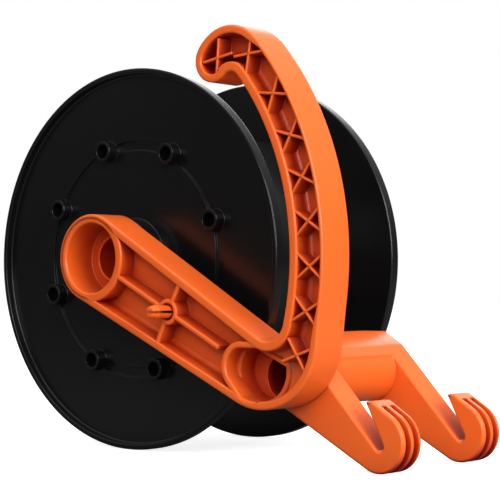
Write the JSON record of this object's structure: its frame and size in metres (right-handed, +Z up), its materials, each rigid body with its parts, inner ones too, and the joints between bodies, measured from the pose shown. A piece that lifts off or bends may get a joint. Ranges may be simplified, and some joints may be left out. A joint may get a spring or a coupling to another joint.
{
  "type": "hand cord reel",
  "caption": "Hand-held cord reel: a flanged spool with a winding knob turns on a ribbed open frame that carries a grip, a lock pin and hooks to hang it by.",
  "frame": {"origin": "under the middle of the reel's overall box, on the surface that it stands on", "axes": "+Z up, the spool turns about Y, the frame's arm is on the -Y side, and the grip and the hooks are towards +X"},
  "size_m": [0.351, 0.2442, 0.2629],
  "materials": {
    "orange": "semi-gloss moulded plastic",
    "black": "gloss moulded plastic",
    "white": "plain slippery plastic",
    "steel": "zinc plated"
  },
  "bodies": {
    "frame": {"frame": "orange", "thrust_washer": "steel", "axle_cap": "black", "axle_cap_screw": "steel"},
    "spool": {"near_flange": "black", "far_flange": "black", "winding_drum": "black", "far_flange_screw_1": "steel", "far_flange_screw_2": "steel", "far_flange_screw_3": "steel", "far_flange_screw_4": "steel", "far_flange_screw_5": "steel", "far_flange_screw_6": "steel", "far_flange_screw_7": "steel", "far_flange_screw_8": "steel", "near_flange_screw_1": "steel", "near_flange_screw_2": "steel", "near_flange_screw_3": "steel", "near_flange_screw_4": "steel", "near_flange_screw_5": "steel", "near_flange_screw_6": "steel", "near_flange_screw_7": "steel", "near_flange_screw_8": "steel", "near_bush": "white", "far_bush": "white", "knob_shoulder_screw": "steel", "knob_washer": "steel"},
    "knob": {"winding_knob": "black", "knob_cap": "black"},
    "lock_pin": {"lock_pin": "orange"}
  },
  "joints": [
    {"name": "spool_spin", "type": "hinge", "parent": "frame", "child": "spool", "pos_m": [-0.0505, -0.00735, 0.125], "axis": [0, 1, 0], "continuous": true},
    {"name": "knob_spin", "type": "hinge", "parent": "spool", "child": "knob", "pos_m": [-0.0505, 0.09265, 0.027], "axis": [0, 1, 0], "continuous": true},
    {"name": "lock_slide", "type": "slide", "parent": "frame", "child": "lock_pin", "axis": [0, 1, 0], "range_m": [0, 0.01]}
  ]
}
